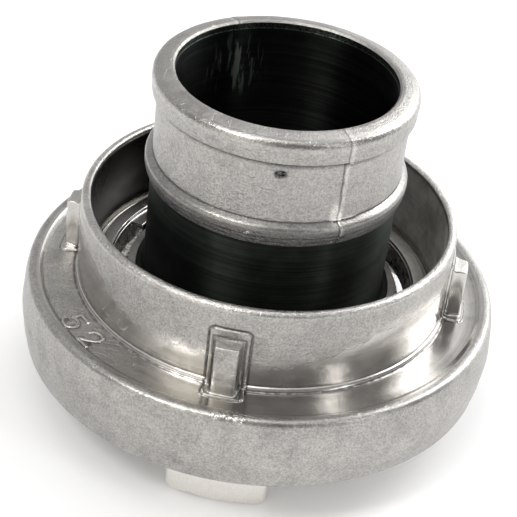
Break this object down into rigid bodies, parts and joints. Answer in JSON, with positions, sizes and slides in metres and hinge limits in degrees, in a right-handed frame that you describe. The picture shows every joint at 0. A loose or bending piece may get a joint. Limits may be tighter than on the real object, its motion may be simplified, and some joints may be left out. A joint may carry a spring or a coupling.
{
  "type": "quarter turn fire hose coupling",
  "caption": "Cast aluminium claw hose coupling: a collared locking ring with claws and ramped windows swivels on a lipped hose tail with a rubber face seal.",
  "frame": {"origin": "on the bore's axis, in the plane of the claw tips that the coupling stands on", "axes": "+Z along the bore towards the hose end; the claws are centred on -Y and +Y"},
  "size_m": [0.1006, 0.1006, 0.0758],
  "materials": {
    "cast_ring": "fine cast grain, smoother turned flange",
    "cast_tail": "fine cast grain, bright edges, turned dark tube and bore",
    "seal_rubber": "matt black",
    "spring_steel": "satin"
  },
  "bodies": {
    "coupling_ring": {"lock_ring": "cast_ring"},
    "tail": {"hose_tail": "cast_tail", "face_seal": "seal_rubber", "retaining_ring": "spring_steel"}
  },
  "joints": [
    {"name": "tail_swivel", "type": "hinge", "parent": "coupling_ring", "child": "tail", "pos_m": [0, 0, 0.02], "axis": [0, 0, 1], "continuous": true}
  ]
}
